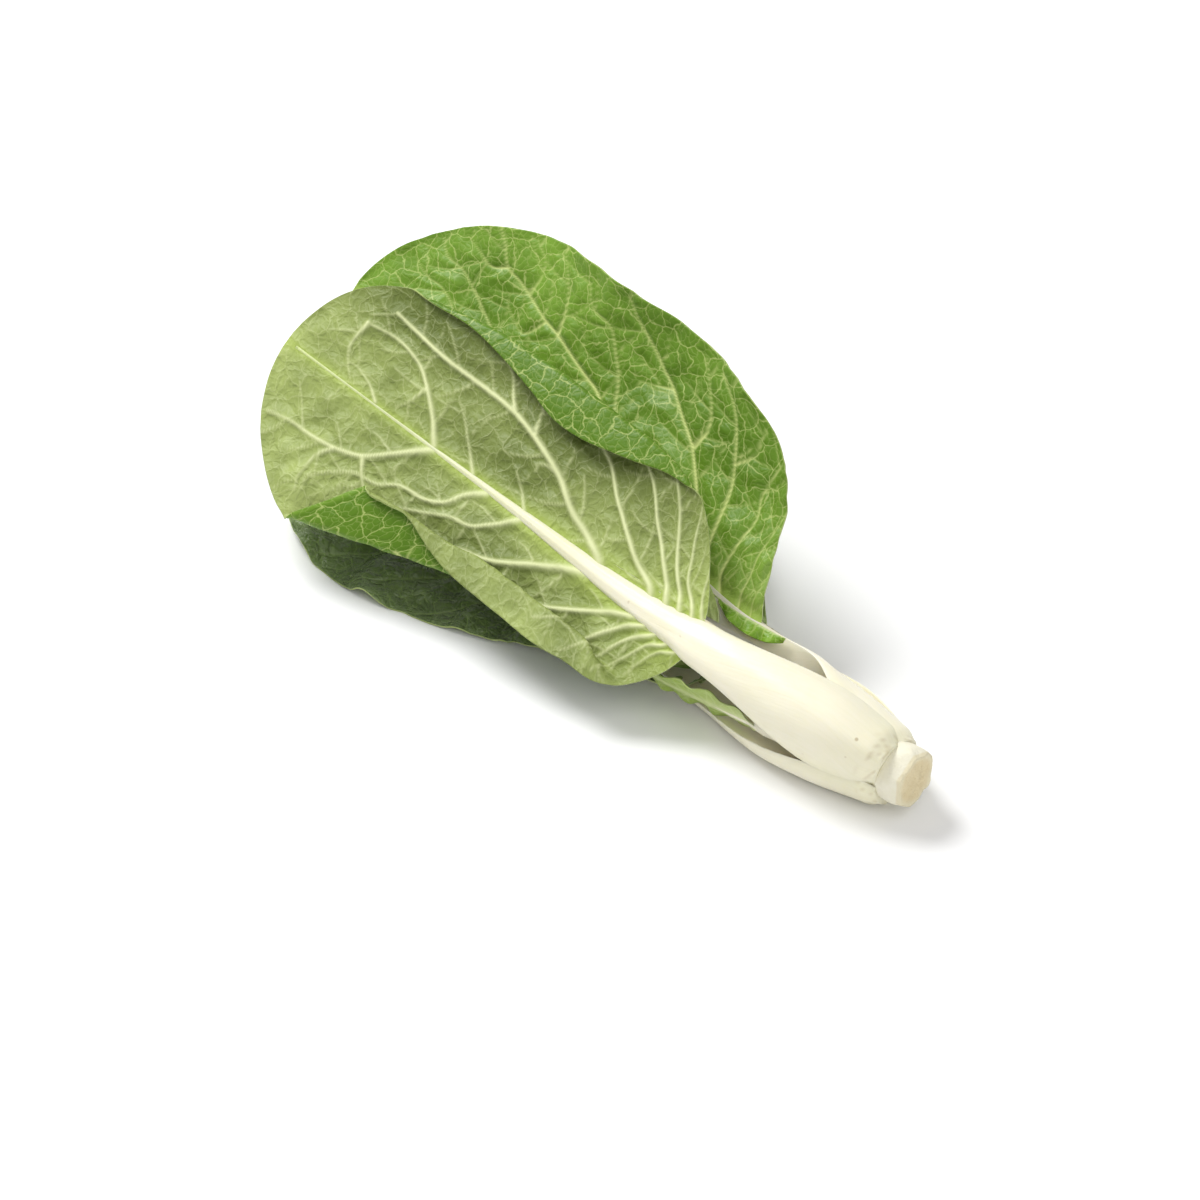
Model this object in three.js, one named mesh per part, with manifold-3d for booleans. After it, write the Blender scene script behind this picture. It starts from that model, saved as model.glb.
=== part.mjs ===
// A head of bok choy, picked and trimmed, lying on its side.
// Millimetres, +Z up. The stem runs along X with its cut end towards +X and the leaf tips towards -X.
// Each leaf is an ivory stalk, which goes on as the midrib, and one thin green blade behind the midrib.
import * as THREE from 'three';
import { mergeVertices } from 'three/addons/utils/BufferGeometryUtils.js';
import Module from 'manifold-3d';

const wasm = await Module();
wasm.setup();

// Driving dimensions
const cutEndX = 144.16;          // the cut face of the stem
const stemY = -26.82;            // the stem's axis
const stemZ = 16;
const stemRadius = 10.5;       // the trimmed stub
const stemLength = 34;         // with the growing point inside the head
const bladeThickness = 0.8;
const pieceGap = 0.9;          // clearance between pieces that grow against each other
const midribGap = 0.5;         // clearance between a midrib and its blade
const ribDepth = 0.7;          // the relief of the side ribs on a blade
const settle = 1.5;            // how softly a blade meets the surface that the head lies on
const foldRadius = 1.7;        // how tightly a folded margin turns
const foldStart = 2.5;         // the margin that stands past a fold before it lies over in full
const sliver = 0.01;           // edges finer than this are dropped after a cut
const stalkSides = 14;
const stalkRings = 20;

const ivory = 0xece9d6;
const leafGreen = 0x7f9c55;
const innerGreen = 0x9dbb57;
const degree = Math.PI / 180;

const smooth = (x) => {
  const t = Math.min(1, Math.max(0, x));
  return t * t * (3 - 2 * t);
};
const mix = (a, b, t) => a + (b - a) * t;

// A smooth curve through [x, y] pairs
function through(pairs, x) {
  const last = pairs.length - 1;
  const slope = (i) => {
    const a = pairs[Math.max(0, i - 1)];
    const b = pairs[Math.min(last, i + 1)];
    return (b[1] - a[1]) / (b[0] - a[0]);
  };
  let i = 0;
  while (i < last - 1 && x >= pairs[i + 1][0]) i += 1;
  const span = pairs[i + 1][0] - pairs[i][0];
  const t = Math.min(1, Math.max(0, (x - pairs[i][0]) / span));
  return (1 + 2 * t) * (1 - t) ** 2 * pairs[i][1] + t * (1 - t) ** 2 * span * slope(i)
    + t * t * (3 - 2 * t) * pairs[i + 1][1] + t * t * (t - 1) * span * slope(i + 1);
}

// Distances are from the cut face: along the head, across it (+Y is the far side) and up from the stem's axis.
// stalk: half widths and thicknesses at the base, the bulge, the blade's foot and the tip.
// width: half widths of the blade on its right and left sides, seen from the back of the leaf.
// lobes: how much wider or narrower each side is than a plain oval, from the foot (0) to the tip (1).
// Folds are distances from the midrib, from the foot to the tip.
const leaves = [
  {
    name: 'leaf_front',
    path: [[9, -6, 7], [62, -9, 17], [118, -5, 20], [172, 0, 27], [228, 4, 35], [288, 8, 43.5]],
    outBase: [0, -0.62, 0.78], outBlade: [0.1, -0.64, 0.76],
    foot: 0.3, stalkHalf: [12.4, 14.4, 8.2, 0.8], stalkThick: [7, 10, 6.5, 0.9], wrap: 9,
    width: [57, 57], widest: 0.55, fullness: 2.1, cup: [14, 10], waveHeight: 1.6, waves: 4.5, wavePhase: 0.6,
    lobes: [
      [[0, 0.75], [0.035, 0.84], [0.1, 1.01], [0.182, 1.08], [0.27, 1.13], [0.352, 1.15], [0.42, 1.165],
        [0.486, 1.145], [0.55, 1.075], [0.637, 1], [0.748, 0.93], [0.833, 0.965], [0.889, 1.01], [1, 1.15]],
      [[0, 0.85], [0.085, 0.9], [0.17, 0.94], [0.333, 0.93], [0.446, 0.93], [0.55, 0.965], [0.6, 1.02],
        [0.65, 1.13], [0.68, 1.2], [0.7, 1.225], [0.72, 1.2], [0.75, 1.136], [0.8, 1.07], [0.839, 1.08], [1, 1.06]],
    ],
    rightFold: {
      at: [[0, 44], [0.1, 45], [0.189, 47.5], [0.266, 49], [0.553, 49.2], [0.727, 47.3], [0.857, 44], [1, 44]],
      ease: 14, angle: 158,
    },
    pleat: {
      first: [[0, 24], [0.15, 24.2], [0.25, 26], [0.333, 28], [0.435, 30], [0.49, 32.8], [0.55, 36.1],
        [0.6, 39.1], [0.693, 44.6], [0.8, 50.7], [1, 62]],
      gap: [[0, 4.4], [0.15, 4.6], [0.25, 6.6], [0.333, 8.6], [0.435, 10.2], [0.49, 11.4], [0.55, 13.8],
        [0.6, 16.6], [0.65, 18.6], [0.693, 20], [0.8, 24], [1, 26]],
      turn: 163,
    },
    rows: 30, columns: 8, ribs: 8,
  },
  {
    name: 'leaf_rear',
    path: [[9, 6, 4], [55, 12, 5], [98, 14, 15], [163, 32, 27], [226, 40, 37], [288, 45, 45]],
    outBase: [0, 0.86, 0.5], outBlade: [-0.12, 0.66, -0.74],
    foot: 0.33, stalkHalf: [12, 14, 7.5, 0.8], stalkThick: [6, 8.5, 6, 0.9], wrap: 8,
    width: [46, 57], widest: 0.5, fullness: 2.7, cup: [-10, -16], waveHeight: 2.2, waves: 3.5, wavePhase: 2.1,
    lobes: [
      [[0, 0.4], [0.1, 0.6], [0.25, 0.9], [0.4, 1], [1, 1]],
      [[0, 0.45], [0.04, 0.52], [0.08, 0.68], [0.15, 0.96], [0.25, 1.09], [0.4, 1.09], [0.55, 1.05],
        [0.7, 1.05], [0.85, 1.02], [1, 0.95]],
    ],
    rows: 26, columns: 9, ribs: 7,
  },
  {
    name: 'leaf_far',
    path: [[9, 7, -6], [55, 18, -6], [100, 31, -4], [155, 43, -2], [210, 51, -2], [262, 55, -4]],
    outBase: [0, 0.72, -0.7], outBlade: [0, 0.24, -0.97],
    foot: 0.36, stalkHalf: [12, 14, 7.5, 0.8], stalkThick: [6, 8.5, 6, 0.9], wrap: 7,
    width: [25, 42], widest: 0.52, fullness: 2.4, cup: [-4, -24], waveHeight: 2.4, waves: 4, wavePhase: 0.4,
    lobes: [[[0, 1], [1, 1]], [[0, 0.35], [0.15, 0.65], [0.35, 0.95], [0.5, 1], [1, 1]]],
    rows: 20, columns: 7, ribs: 6,
  },
  {
    name: 'leaf_under',
    path: [[9, -4, -7], [58, -2, -9], [100, 3, -9.5], [158, 5, -11], [218, 4, -12], [277, 0, -10]],
    outBase: [0, -0.3, -0.95], outBlade: [0, 0.02, -1],
    foot: 0.38, stalkHalf: [12, 15, 7.5, 0.8], stalkThick: [6, 8, 5.5, 0.9], wrap: 7,
    width: [38, 29], widest: 0.52, fullness: 2.4, cup: [24, 24], waveHeight: 2.2, waves: 5, wavePhase: 1.2,
    lobes: [
      [[0, 0.4], [0.06, 0.38], [0.15, 0.44], [0.25, 0.5], [0.34, 0.58], [0.46, 0.73], [0.57, 0.86], [0.69, 0.95],
        [0.8, 1.02], [0.88, 1.03], [1, 1]],
      [[0, 1], [1, 1]],
    ],
    rows: 20, columns: 7, ribs: 6,
  },
  {
    name: 'leaf_inner_upper',
    path: [[14, -1, 5], [50, -1, 8], [90, 1, 11], [135, 5, 16.5], [180, 9, 22.5], [222, 13, 28]],
    outBase: [0, -0.5, 0.86], outBlade: [0, -0.6, 0.8],
    foot: 0.4, stalkHalf: [6, 8, 5, 0.7], stalkThick: [4, 5, 4, 0.9], wrap: 3,
    width: [26, 26], widest: 0.52, fullness: 2.3, cup: [-20, -20], waveHeight: 1.5, waves: 3.5, wavePhase: 0,
    rows: 16, columns: 5, ribs: 5,
  },
  {
    name: 'leaf_inner_lower',
    path: [[14, 2, -1], [48, 5, -2], [88, 12, -1], [130, 17, 1], [172, 20, 2], [206, 22, 2]],
    outBase: [0, 0.4, -0.92], outBlade: [0, 0.4, -0.92],
    foot: 0.42, stalkHalf: [6, 8, 5, 0.7], stalkThick: [4, 5, 4, 0.9], wrap: 3,
    width: [24, 24], widest: 0.52, fullness: 2.3, cup: [30, 20], waveHeight: 1.5, waves: 3.5, wavePhase: 1,
    rows: 16, columns: 5, ribs: 5,
  },
  {
    name: 'leaf_heart',
    path: [[15, -4, 0], [38, -7, 0], [60, -10, 0], [80, -11, -0.4], [98, -12, -0.6], [112, -12, -0.4]],
    outBase: [0, -0.9, -0.3], outBlade: [0, -0.85, -0.5],
    foot: 0.4, stalkHalf: [3, 4.5, 3, 0.6], stalkThick: [3, 3.5, 2.6, 0.8], wrap: 1,
    width: [9, 10], widest: 0.5, fullness: 2.2, cup: [-250, -200], waveHeight: 1.2, waves: 4.5, wavePhase: 2,
    rows: 12, columns: 4, ribs: 4,
  },
];

// A closed mesh from its points and triangles
function meshFrom(points, triangles) {
  const geometry = new THREE.BufferGeometry();
  geometry.setAttribute('position', new THREE.Float32BufferAttribute(points.flatMap((p) => [p.x, p.y, p.z]), 3));
  geometry.setIndex(triangles.flat());
  return geometry;
}

function toSolid(geometry) {
  const bare = geometry.clone();
  bare.deleteAttribute('normal');
  bare.deleteAttribute('uv');
  const merged = mergeVertices(bare, 1e-4);
  return new wasm.Manifold(new wasm.Mesh({
    numProp: 3,
    vertProperties: new Float32Array(merged.attributes.position.array),
    triVerts: new Uint32Array(merged.index.array),
  }));
}

function toGeometry(solid) {
  const { vertProperties, triVerts } = solid.getMesh();
  const geometry = new THREE.BufferGeometry();
  geometry.setAttribute('position', new THREE.BufferAttribute(new Float32Array(vertProperties), 3));
  geometry.setIndex(new THREE.BufferAttribute(new Uint32Array(triVerts), 1));
  return geometry;
}

// The largest body of a solid that a cut has left in pieces
function largest(solid) {
  return solid.simplify(sliver).decompose().sort((a, b) => b.volume() - a.volume())[0];
}

// From distances along, across and up to the part's own frame
function placed([along, across, up]) {
  return new THREE.Vector3(cutEndX - along, stemY + across, stemZ + up);
}

// The midrib's line with the direction out of the back of the leaf and the direction to its right
function lineOf(leaf) {
  const curve = new THREE.CatmullRomCurve3(leaf.path.map(placed), false, 'catmullrom', 0.5);
  const outBase = new THREE.Vector3(...leaf.outBase);
  const outBlade = new THREE.Vector3(...leaf.outBlade);
  return (u) => {
    const point = curve.getPoint(u);
    const tangent = curve.getTangent(u);
    const out = outBase.clone().lerp(outBlade, smooth(u / (leaf.foot * 1.15)));
    out.addScaledVector(tangent, -out.dot(tangent)).normalize();
    const right = tangent.clone().cross(out).normalize();
    return { point, tangent, out, right };
  };
}

// Four values spread along a stalk: base, bulge, foot of the blade, tip
function alongStalk(leaf, values, u) {
  const bulge = leaf.foot * 0.32;
  if (u < bulge) return mix(values[0], values[1], smooth(u / bulge));
  if (u < leaf.foot) return mix(values[1], values[2], smooth((u - bulge) / (leaf.foot - bulge)));
  const past = (u - leaf.foot) / (1 - leaf.foot);
  return mix(values[2], values[3], 1 - (1 - past) ** 2.4);
}

// A stalk is a spoon at its base, round on its back, and goes on as a half-round midrib
function stalkGeometry(leaf, grow = 0) {
  const line = lineOf(leaf);
  const points = [];
  const triangles = [];
  const first = grow > 0 ? -1 : 0;
  for (let i = first; i <= stalkRings; i += 1) {
    const u = Math.max(0, 0.985 * (i / stalkRings));
    const { point, tangent, out, right } = line(u);
    if (i < 0) point.addScaledVector(tangent, -2 * grow);
    const half = alongStalk(leaf, leaf.stalkHalf, u);
    const thick = alongStalk(leaf, leaf.stalkThick, u);
    const open = 1 - smooth(u / (leaf.foot * 0.92));
    const seat = bladeThickness / 2 + midribGap;
    for (let j = 0; j < stalkSides; j += 1) {
      const turn = (2 * Math.PI * j) / stalkSides;
      const across = (half + grow) * Math.cos(turn);
      const rise = Math.sin(turn) > 0 ? thick * Math.sin(turn) : 0.12 * thick * open * Math.sin(turn);
      const wrapped = leaf.wrap * open * (across / half) ** 2;
      const lift = seat + rise - wrapped + grow * Math.sign(Math.sin(turn));
      points.push(point.clone().addScaledVector(right, across).addScaledVector(out, lift));
    }
  }
  const last = points.length - stalkSides;
  for (let ring = 0; ring < last; ring += stalkSides) {
    for (let j = 0; j < stalkSides; j += 1) {
      const a = ring + j;
      const b = ring + ((j + 1) % stalkSides);
      triangles.push([a, b + stalkSides, b], [a, a + stalkSides, b + stalkSides]);
    }
  }
  for (let j = 0; j < stalkSides / 2; j += 1) {
    const back = [j, j + 1];
    const front = [(stalkSides - j) % stalkSides, stalkSides - j - 1];
    const halves = [[back[0], back[1], front[1]], [back[0], front[1], front[0]]];
    halves.filter((corner) => new Set(corner).size === 3).forEach(([a, b, c]) => {
      triangles.push([a, b, c], [last + a, last + c, last + b]);
    });
  }
  points.forEach((p) => { p.z = Math.max(p.z, 0); });
  return meshFrom(points, triangles);
}

// Half the blade's width on one side at a station v from its foot to its tip
function halfWidth(leaf, side, v) {
  const x = v < leaf.widest ? (leaf.widest - v) / leaf.widest : (v - leaf.widest) / (1 - leaf.widest);
  const oval = leaf.width[side] * Math.sqrt(Math.max(0, 1 - x ** leaf.fullness));
  return leaf.lobes ? oval * through(leaf.lobes[side], v) : oval;
}

// The folds on one side at a station: where each lies from the midrib, and how far it turns
function foldsOf(leaf, side, v) {
  const width = halfWidth(leaf, side, v);
  const full = (at) => smooth((width - at) / foldStart);
  if (side === 0 && leaf.rightFold) {
    const { at: line, ease, angle } = leaf.rightFold;
    // near its ends the fold runs into the margin without a corner
    const at = width / (1 + (width / through(line, v)) ** ease) ** (1 / ease);
    return [{ at, turn: angle * full(at) }];
  }
  if (side === 1 && leaf.pleat) {
    const first = through(leaf.pleat.first, v);
    const second = first + through(leaf.pleat.gap, v);
    const turn = leaf.pleat.turn * smooth((v - 0.06) / 0.14);
    return [
      { at: Math.min(first, 0.97 * width), turn: turn * full(first) },
      { at: Math.min(second, 0.97 * width), turn: -turn * full(second) },
    ];
  }
  return [];
}

// Columns of a blade from the midrib to the margin: even, and three across each fold
function columnsOf(leaf, side, v) {
  const width = halfWidth(leaf, side, v);
  const folds = foldsOf(leaf, side, v);
  if (!folds.length) return Array.from({ length: leaf.columns }, (_, k) => (width * (k + 1)) / leaf.columns);
  const half = Math.min(foldRadius * 1.4, 0.035 * width);
  const spots = [];
  for (let k = folds.length - 1, limit = width; k >= 0; k -= 1) {
    spots[k] = Math.min(folds[k].at, limit - 2.2 * half);
    limit = spots[k] - half;
  }
  const inner = spots[0] - half;
  const out = [];
  for (let k = 1; k <= 6; k += 1) {
    out.push((inner * k) / 6);
  }
  spots.forEach((spot, k) => {
    out.push(spot - half / 3, spot + half / 3, spot + half);
    const from = spot + half;
    if (k + 1 < spots.length) out.push(spots[k + 1] - half);
    else out.push((from + width) / 2, width);
  });
  return out;
}

// A point of the blade's middle surface at station v and distance s from the midrib
function bladePoint(leaf, line, side, v, s) {
  const width = halfWidth(leaf, side, v);
  const folds = foldsOf(leaf, side, v);
  const sign = side === 0 ? 1 : -1;
  const turnSpan = Math.min(foldRadius * 2.8, 0.07 * width);
  const steps = 48;
  let across = 0;
  let rise = 0;
  let angle = 0;
  for (let k = 0; k < steps; k += 1) {
    const here = (s * (k + 0.5)) / steps;
    angle = leaf.cup[side] * (here / 50) ** 2;
    for (const fold of folds) {
      angle += fold.turn * Math.min(1, Math.max(0, (here - fold.at) / turnSpan + 0.5));
    }
    across += (Math.cos(angle * degree) * s) / steps;
    rise += (Math.sin(angle * degree) * s) / steps;
  }
  const f = s / leaf.width[side];
  const clear = smooth((s - 9) / 14) * smooth((width - s) / 4 + 0.4);
  const edge = leaf.waveHeight * f ** 2.2 * Math.sin(2 * Math.PI * leaf.waves * v + leaf.wavePhase + 2 * side);
  const relief = ribDepth * clear * Math.cos(2 * Math.PI * leaf.ribs * (v - 0.16 * f));
  const lift = (relief + edge) * (folds.length ? smooth((folds[0].at - s) / 6) : 1);
  across -= lift * Math.sin(angle * degree);
  rise += lift * Math.cos(angle * degree);
  const { point, out, right } = line(mix(leaf.foot, 1, v));
  const at = point.addScaledVector(right, sign * across).addScaledVector(out, rise);
  const low = bladeThickness / 2 + settle;
  if (at.z < low) at.z += settle * (Math.exp((at.z - low) / settle) - 1) - (at.z - low);
  return at;
}

// A thin waved sheet, split into triangles alike on both faces
function bladeGeometry(leaf) {
  const line = lineOf(leaf);
  const grid = [];
  for (let i = 0; i <= leaf.rows; i += 1) {
    const v = 0.5 - 0.496 * Math.cos((Math.PI * i) / leaf.rows);
    const left = columnsOf(leaf, 1, v).map((s) => bladePoint(leaf, line, 1, v, s)).reverse();
    const right = columnsOf(leaf, 0, v).map((s) => bladePoint(leaf, line, 0, v, s));
    grid.push([...left, bladePoint(leaf, line, 0, v, 0), ...right]);
  }
  const rows = grid.length;
  const columns = grid[0].length;
  const half = bladeThickness / 2;
  const upper = [];
  const lower = [];
  for (let i = 0; i < rows; i += 1) {
    for (let j = 0; j < columns; j += 1) {
      const along = grid[Math.min(i + 1, rows - 1)][j].clone().sub(grid[Math.max(i - 1, 0)][j]);
      const across = grid[i][Math.min(j + 1, columns - 1)].clone().sub(grid[i][Math.max(j - 1, 0)]);
      const normal = along.cross(across).normalize();
      upper.push(grid[i][j].clone().addScaledVector(normal, half));
      lower.push(grid[i][j].clone().addScaledVector(normal, -half));
    }
  }
  const total = rows * columns;
  const triangles = [];
  for (let i = 0; i < rows - 1; i += 1) {
    for (let j = 0; j < columns - 1; j += 1) {
      const a = i * columns + j;
      const corner = [a, a + 1, a + columns + 1, a + columns];
      triangles.push([corner[0], corner[2], corner[1]], [corner[0], corner[3], corner[2]]);
      triangles.push([corner[0] + total, corner[1] + total, corner[2] + total]);
      triangles.push([corner[0] + total, corner[2] + total, corner[3] + total]);
    }
  }
  const rim = [];
  for (let j = 0; j < columns; j += 1) rim.push(j);
  for (let i = 1; i < rows; i += 1) rim.push(i * columns + columns - 1);
  for (let j = columns - 2; j >= 0; j -= 1) rim.push((rows - 1) * columns + j);
  for (let i = rows - 2; i > 0; i -= 1) rim.push(i * columns);
  rim.forEach((a, k) => {
    const b = rim[(k + 1) % rim.length];
    triangles.push([a, b, b + total], [a, b + total, a + total]);
  });
  return meshFrom([...upper, ...lower], triangles);
}

// The trimmed stub, cut flat, with the growing point that the stalks close round
function stemGeometry(grow = 0) {
  const profile = [[0, 0], [0.86, 0], [1, 0.05], [1.02, 0.2], [0.92, 0.38], [0.6, 0.72], [0.25, 0.96], [0, 1]];
  const radius = stemRadius + grow;
  const points = profile.map(([r, t]) => new THREE.Vector2(r * radius, t * (stemLength + 2 * grow)));
  const geometry = new THREE.LatheGeometry(points, 20);
  geometry.rotateZ(Math.PI / 2);
  geometry.translate(cutEndX + grow, stemY, stemZ);
  return geometry;
}

function addMesh(group, name, geometry, color, roughness) {
  const shape = geometry;
  shape.computeVertexNormals();
  const mesh = new THREE.Mesh(shape, new THREE.MeshStandardMaterial({ color, roughness, metalness: 0 }));
  mesh.name = name;
  group.add(mesh);
}

const head = new THREE.Group();
addMesh(head, 'stem_base', stemGeometry(), ivory, 0.55);

// Outer stalks keep their form, and each further one is cut to fit against them
const cutters = [toSolid(stemGeometry(pieceGap))];
leaves.forEach((leaf) => {
  let stalk = toSolid(stalkGeometry(leaf));
  for (const cutter of cutters) {
    stalk = stalk.subtract(cutter);
  }
  addMesh(head, `${leaf.name}_stalk`, toGeometry(largest(stalk)), ivory, 0.4);
  cutters.push(toSolid(stalkGeometry(leaf, pieceGap)));
  const color = leaf.rows > 16 ? leafGreen : innerGreen;
  addMesh(head, `${leaf.name}_blade`, bladeGeometry(leaf), color, 0.5);
});

export default head;
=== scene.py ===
# A trimmed head of bok choy lying on a pale surface. Leaf sizes are millimetres, as in the part's own source.
import math

import bmesh
import bpy
import numpy as np
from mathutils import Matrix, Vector


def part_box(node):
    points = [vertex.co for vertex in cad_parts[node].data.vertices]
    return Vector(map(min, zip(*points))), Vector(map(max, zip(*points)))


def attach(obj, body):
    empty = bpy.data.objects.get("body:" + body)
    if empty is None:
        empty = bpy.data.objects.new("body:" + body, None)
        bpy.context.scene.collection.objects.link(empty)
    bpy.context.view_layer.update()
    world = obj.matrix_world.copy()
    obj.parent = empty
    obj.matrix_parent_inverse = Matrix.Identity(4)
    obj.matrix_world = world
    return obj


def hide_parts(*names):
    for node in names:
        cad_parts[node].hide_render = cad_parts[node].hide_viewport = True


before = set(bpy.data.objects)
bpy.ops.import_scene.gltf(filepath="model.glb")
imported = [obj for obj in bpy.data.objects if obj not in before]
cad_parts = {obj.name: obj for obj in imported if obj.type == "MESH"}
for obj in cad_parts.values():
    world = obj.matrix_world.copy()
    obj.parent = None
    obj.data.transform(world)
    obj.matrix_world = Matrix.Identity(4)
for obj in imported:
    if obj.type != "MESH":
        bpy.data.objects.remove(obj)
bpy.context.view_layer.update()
mm = 0.001
degree = math.pi / 180

stemLow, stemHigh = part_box("stem_base")
cutEndX = stemHigh[0] / mm                         # the cut face of the stem
stemY = (stemLow[1] + stemHigh[1]) / 2 / mm        # the stem's axis
stemZ = (stemLow[2] + stemHigh[2]) / 2 / mm
print("frame loaded, cut face at x", round(cutEndX, 2), "mm")


# Small shared helpers

def smooth(x):
    t = np.clip(x, 0.0, 1.0)
    return t * t * (3 - 2 * t)


def mix(a, b, t):
    return a + (b - a) * t


def softNoise(x, y, cell, seed):
    # smooth seeded noise between -1 and 1 on a square lattice
    table = np.random.default_rng(seed).uniform(-1, 1, (96, 96))
    gx, gy = x / cell + 40, y / cell + 40
    ix, iy = np.floor(gx).astype(int), np.floor(gy).astype(int)
    fx, fy = smooth(gx - ix), smooth(gy - iy)
    ix, iy = ix % 95, iy % 95
    low = mix(table[ix, iy], table[ix + 1, iy], fx)
    high = mix(table[ix, iy + 1], table[ix + 1, iy + 1], fx)
    return mix(low, high, fy)


def unit(rows):
    return rows / np.maximum(np.linalg.norm(rows, axis=-1, keepdims=True), 1e-12)


# Meshes: each piece starts as a bmesh grid whose points are then moved into place

def gridMesh(name, columns, rows, place):
    # place(fx, fy) gives points in mm, UVs and vertex marks for grid fractions from 0 to 1
    bm = bmesh.new()
    bmesh.ops.create_grid(bm, x_segments=columns, y_segments=rows, size=1.0)
    mesh = bpy.data.meshes.new(name)
    bm.to_mesh(mesh)
    bm.free()
    co = np.empty(len(mesh.vertices) * 3)
    mesh.vertices.foreach_get("co", co)
    fractions = (co.reshape(-1, 3)[:, :2] + 1) / 2
    points, uv, marks = place(fractions[:, 0], fractions[:, 1])
    mesh.vertices.foreach_set("co", (points * mm).ravel())
    corner = np.empty(len(mesh.loops), dtype=np.int32)
    mesh.loops.foreach_get("vertex_index", corner)
    sheet = mesh.uv_layers.new(name="sheet")
    sheet.data.foreach_set("uv", uv[corner].astype(np.float32).ravel())
    colours = mesh.color_attributes.new("marks", "FLOAT_COLOR", "POINT")
    full = np.ones((len(mesh.vertices), 4), dtype=np.float32)
    full[:, :3] = marks
    colours.data.foreach_set("color", full.ravel())
    return mesh


def addPiece(mesh, name, node):
    mesh.polygons.foreach_set("use_smooth", np.ones(len(mesh.polygons), dtype=bool))
    mesh.update()
    piece = bpy.data.objects.new(name, mesh)
    bpy.context.collection.objects.link(piece)
    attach(piece, "root")
    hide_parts(node)
    return piece


# Materials

def newGroup(name, inputs, outputs):
    group = bpy.data.node_groups.new(name, "ShaderNodeTree")
    for label, kind, value in inputs:
        socket = group.interface.new_socket(name=label, in_out="INPUT", socket_type=kind)
        socket.default_value = value
    for label, kind in outputs:
        group.interface.new_socket(name=label, in_out="OUTPUT", socket_type=kind)
    return group, group.nodes.new("NodeGroupInput"), group.nodes.new("NodeGroupOutput")


def addNode(tree, kind, links=None, **settings):
    node = tree.nodes.new(kind)
    for key, value in settings.items():
        setattr(node, key, value)
    for socket, source in (links or {}).items():
        if hasattr(source, "is_output"):
            tree.links.new(source, node.inputs[socket])
        else:
            node.inputs[socket].default_value = source
    return node


def mixColour(tree, amount, first, second):
    node = addNode(tree, "ShaderNodeMix", data_type="RGBA")
    for socket, source in ((0, amount), (6, first), (7, second)):
        if hasattr(source, "is_output"):
            tree.links.new(source, node.inputs[socket])
        else:
            node.inputs[socket].default_value = source
    return node.outputs[2]


def calc(tree, operation, first, second=0.0):
    node = addNode(tree, "ShaderNodeMath", {0: first, 1: second}, operation=operation)
    return node.outputs[0]


def ramped(tree, value, low, high, toLow=0.0, toHigh=1.0):
    node = addNode(tree, "ShaderNodeMapRange", {0: value, 1: low, 2: high, 3: toLow, 4: toHigh})
    return node.outputs[0]


def noiseValue(tree, vector, scale, detail=3.0, rough=0.5):
    node = addNode(tree, "ShaderNodeTexNoise",
                   {"Vector": vector, "Scale": scale, "Detail": detail, "Roughness": rough})
    return node.outputs["Fac"]


def cellNet(tree, vector, scale, width):
    # the lines between the cells of a net, and the pillow shape of the cells
    cells = addNode(tree, "ShaderNodeTexVoronoi", {"Vector": vector, "Scale": scale},
                    feature="DISTANCE_TO_EDGE", voronoi_dimensions="2D")
    away = cells.outputs["Distance"]
    pillow = addNode(tree, "ShaderNodeMapRange", {0: away, 1: 0.0, 2: 0.38}, interpolation_type="SMOOTHSTEP")
    return ramped(tree, away, width * 0.3, width, 1.0, 0.0), pillow.outputs[0]


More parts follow.
